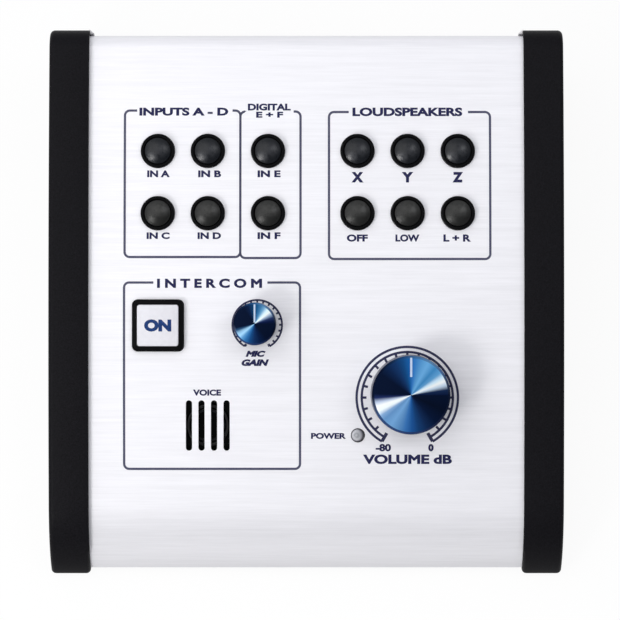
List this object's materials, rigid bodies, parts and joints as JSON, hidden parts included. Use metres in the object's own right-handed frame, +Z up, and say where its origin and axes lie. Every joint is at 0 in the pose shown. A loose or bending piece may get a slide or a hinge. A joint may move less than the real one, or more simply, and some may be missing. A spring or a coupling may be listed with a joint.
{
  "type": "studio monitor controller",
  "caption": "Low wedge desktop controller for studio loudspeakers: crowned brushed cover between black end cheeks, round push buttons, square talkback key, two rotary knobs, mic slots.",
  "frame": {"origin": "on the table, under the middle of the bounding box", "axes": "+X to the user's right, +Y away from the user to the rear socket, +Z up; the face is tilted 12 degrees towards the user"},
  "size_m": [0.152, 0.1612, 0.0447],
  "materials": {
    "brushed_cover": "fine straight brushing along the width, clear satin",
    "tray_steel": "matte black powder coat",
    "cheek_moulding": "black, finely textured",
    "rubber": "matte",
    "screw_steel": "black zinc",
    "collar_moulding": "black, satin",
    "smoked_cap": "dark smoked, glossy",
    "switch_body": "black",
    "milk_key": "translucent milk white",
    "blue_knob": "blue anodised, spun",
    "shaft_steel": "turned",
    "pot_metal": "plated",
    "capsule_metal": "satin",
    "lens": "clear, frosted",
    "board": "green solder mask",
    "socket_plating": "bright zinc",
    "socket_insulator": "black",
    "ribbon": "grey"
  },
  "bodies": {
    "root": {"top_cover": "brushed_cover", "base_tray": "tray_steel", "cheek_left": "cheek_moulding", "cheek_right": "cheek_moulding", "foot_front_left": "rubber", "foot_front_right": "rubber", "foot_rear_left": "rubber", "foot_rear_right": "rubber", "base_screw_front_left": "screw_steel", "base_screw_front_right": "screw_steel", "base_screw_rear_left": "screw_steel", "base_screw_rear_right": "screw_steel", "button_guide_left": "collar_moulding", "button_guide_right": "collar_moulding", "input_1_switch": "switch_body", "input_2_switch": "switch_body", "digital_in_1_switch": "switch_body", "input_3_switch": "switch_body", "input_4_switch": "switch_body", "digital_in_2_switch": "switch_body", "speaker_a_switch": "switch_body", "speaker_b_switch": "switch_body", "speaker_c_switch": "switch_body", "mute_switch": "switch_body", "dim_switch": "switch_body", "mono_switch": "switch_body", "talkback_bezel": "collar_moulding", "talkback_switch": "switch_body", "main_pot_body": "pot_metal", "mic_pot_body": "pot_metal", "mic_boot": "rubber", "mic_capsule": "capsule_metal", "status_led": "lens", "control_board": "board", "board_screw_front_left": "screw_steel", "board_screw_rear_left": "screw_steel", "board_screw_front_right": "screw_steel", "board_screw_rear_right": "screw_steel", "socket_shell": "socket_plating", "socket_insert": "socket_insulator", "jackscrew_left": "socket_plating", "jackscrew_right": "socket_plating", "link_ribbon": "ribbon"},
    "input_1_button": {"input_1_cap": "smoked_cap"},
    "input_2_button": {"input_2_cap": "smoked_cap"},
    "digital_in_1_button": {"digital_in_1_cap": "smoked_cap"},
    "input_3_button": {"input_3_cap": "smoked_cap"},
    "input_4_button": {"input_4_cap": "smoked_cap"},
    "digital_in_2_button": {"digital_in_2_cap": "smoked_cap"},
    "speaker_a_button": {"speaker_a_cap": "smoked_cap"},
    "speaker_b_button": {"speaker_b_cap": "smoked_cap"},
    "speaker_c_button": {"speaker_c_cap": "smoked_cap"},
    "mute_button": {"mute_cap": "smoked_cap"},
    "dim_button": {"dim_cap": "smoked_cap"},
    "mono_button": {"mono_cap": "smoked_cap"},
    "talkback_button": {"talkback_key": "milk_key"},
    "main_control": {"main_knob": "blue_knob", "main_pot_shaft": "shaft_steel"},
    "mic_control": {"mic_knob": "blue_knob", "mic_pot_shaft": "shaft_steel"}
  },
  "joints": [
    {"name": "input_1_press", "type": "slide", "parent": "root", "child": "input_1_button", "axis": [0, 0.2079, -0.9781], "range_m": [0, 0.0008], "stiffness_N_per_m": 800},
    {"name": "input_2_press", "type": "slide", "parent": "root", "child": "input_2_button", "axis": [0, 0.2079, -0.9781], "range_m": [0, 0.0008], "stiffness_N_per_m": 800},
    {"name": "digital_in_1_press", "type": "slide", "parent": "root", "child": "digital_in_1_button", "axis": [0, 0.2079, -0.9781], "range_m": [0, 0.0008], "stiffness_N_per_m": 800},
    {"name": "input_3_press", "type": "slide", "parent": "root", "child": "input_3_button", "axis": [0, 0.2079, -0.9781], "range_m": [0, 0.0008], "stiffness_N_per_m": 800},
    {"name": "input_4_press", "type": "slide", "parent": "root", "child": "input_4_button", "axis": [0, 0.2079, -0.9781], "range_m": [0, 0.0008], "stiffness_N_per_m": 800},
    {"name": "digital_in_2_press", "type": "slide", "parent": "root", "child": "digital_in_2_button", "axis": [0, 0.2079, -0.9781], "range_m": [0, 0.0008], "stiffness_N_per_m": 800},
    {"name": "speaker_a_press", "type": "slide", "parent": "root", "child": "speaker_a_button", "axis": [0, 0.2079, -0.9781], "range_m": [0, 0.0008], "stiffness_N_per_m": 800},
    {"name": "speaker_b_press", "type": "slide", "parent": "root", "child": "speaker_b_button", "axis": [0, 0.2079, -0.9781], "range_m": [0, 0.0008], "stiffness_N_per_m": 800},
    {"name": "speaker_c_press", "type": "slide", "parent": "root", "child": "speaker_c_button", "axis": [0, 0.2079, -0.9781], "range_m": [0, 0.0008], "stiffness_N_per_m": 800},
    {"name": "mute_press", "type": "slide", "parent": "root", "child": "mute_button", "axis": [0, 0.2079, -0.9781], "range_m": [0, 0.0008], "stiffness_N_per_m": 800},
    {"name": "dim_press", "type": "slide", "parent": "root", "child": "dim_button", "axis": [0, 0.2079, -0.9781], "range_m": [0, 0.0008], "stiffness_N_per_m": 800},
    {"name": "mono_press", "type": "slide", "parent": "root", "child": "mono_button", "axis": [0, 0.2079, -0.9781], "range_m": [0, 0.0008], "stiffness_N_per_m": 800},
    {"name": "talkback_press", "type": "slide", "parent": "root", "child": "talkback_button", "axis": [0, 0.2079, -0.9781], "range_m": [0, 0.001], "stiffness_N_per_m": 900},
    {"name": "main_level_turn", "type": "hinge", "parent": "root", "child": "main_control", "pos_m": [0.0305, -0.03056, 0.02612], "axis": [0, -0.2079, 0.9781], "range_deg": [-150, 150]},
    {"name": "mic_level_turn", "type": "hinge", "parent": "root", "child": "mic_control", "pos_m": [-0.0151, -0.01031, 0.03043], "axis": [0, -0.2079, 0.9781], "range_deg": [-150, 150]}
  ]
}
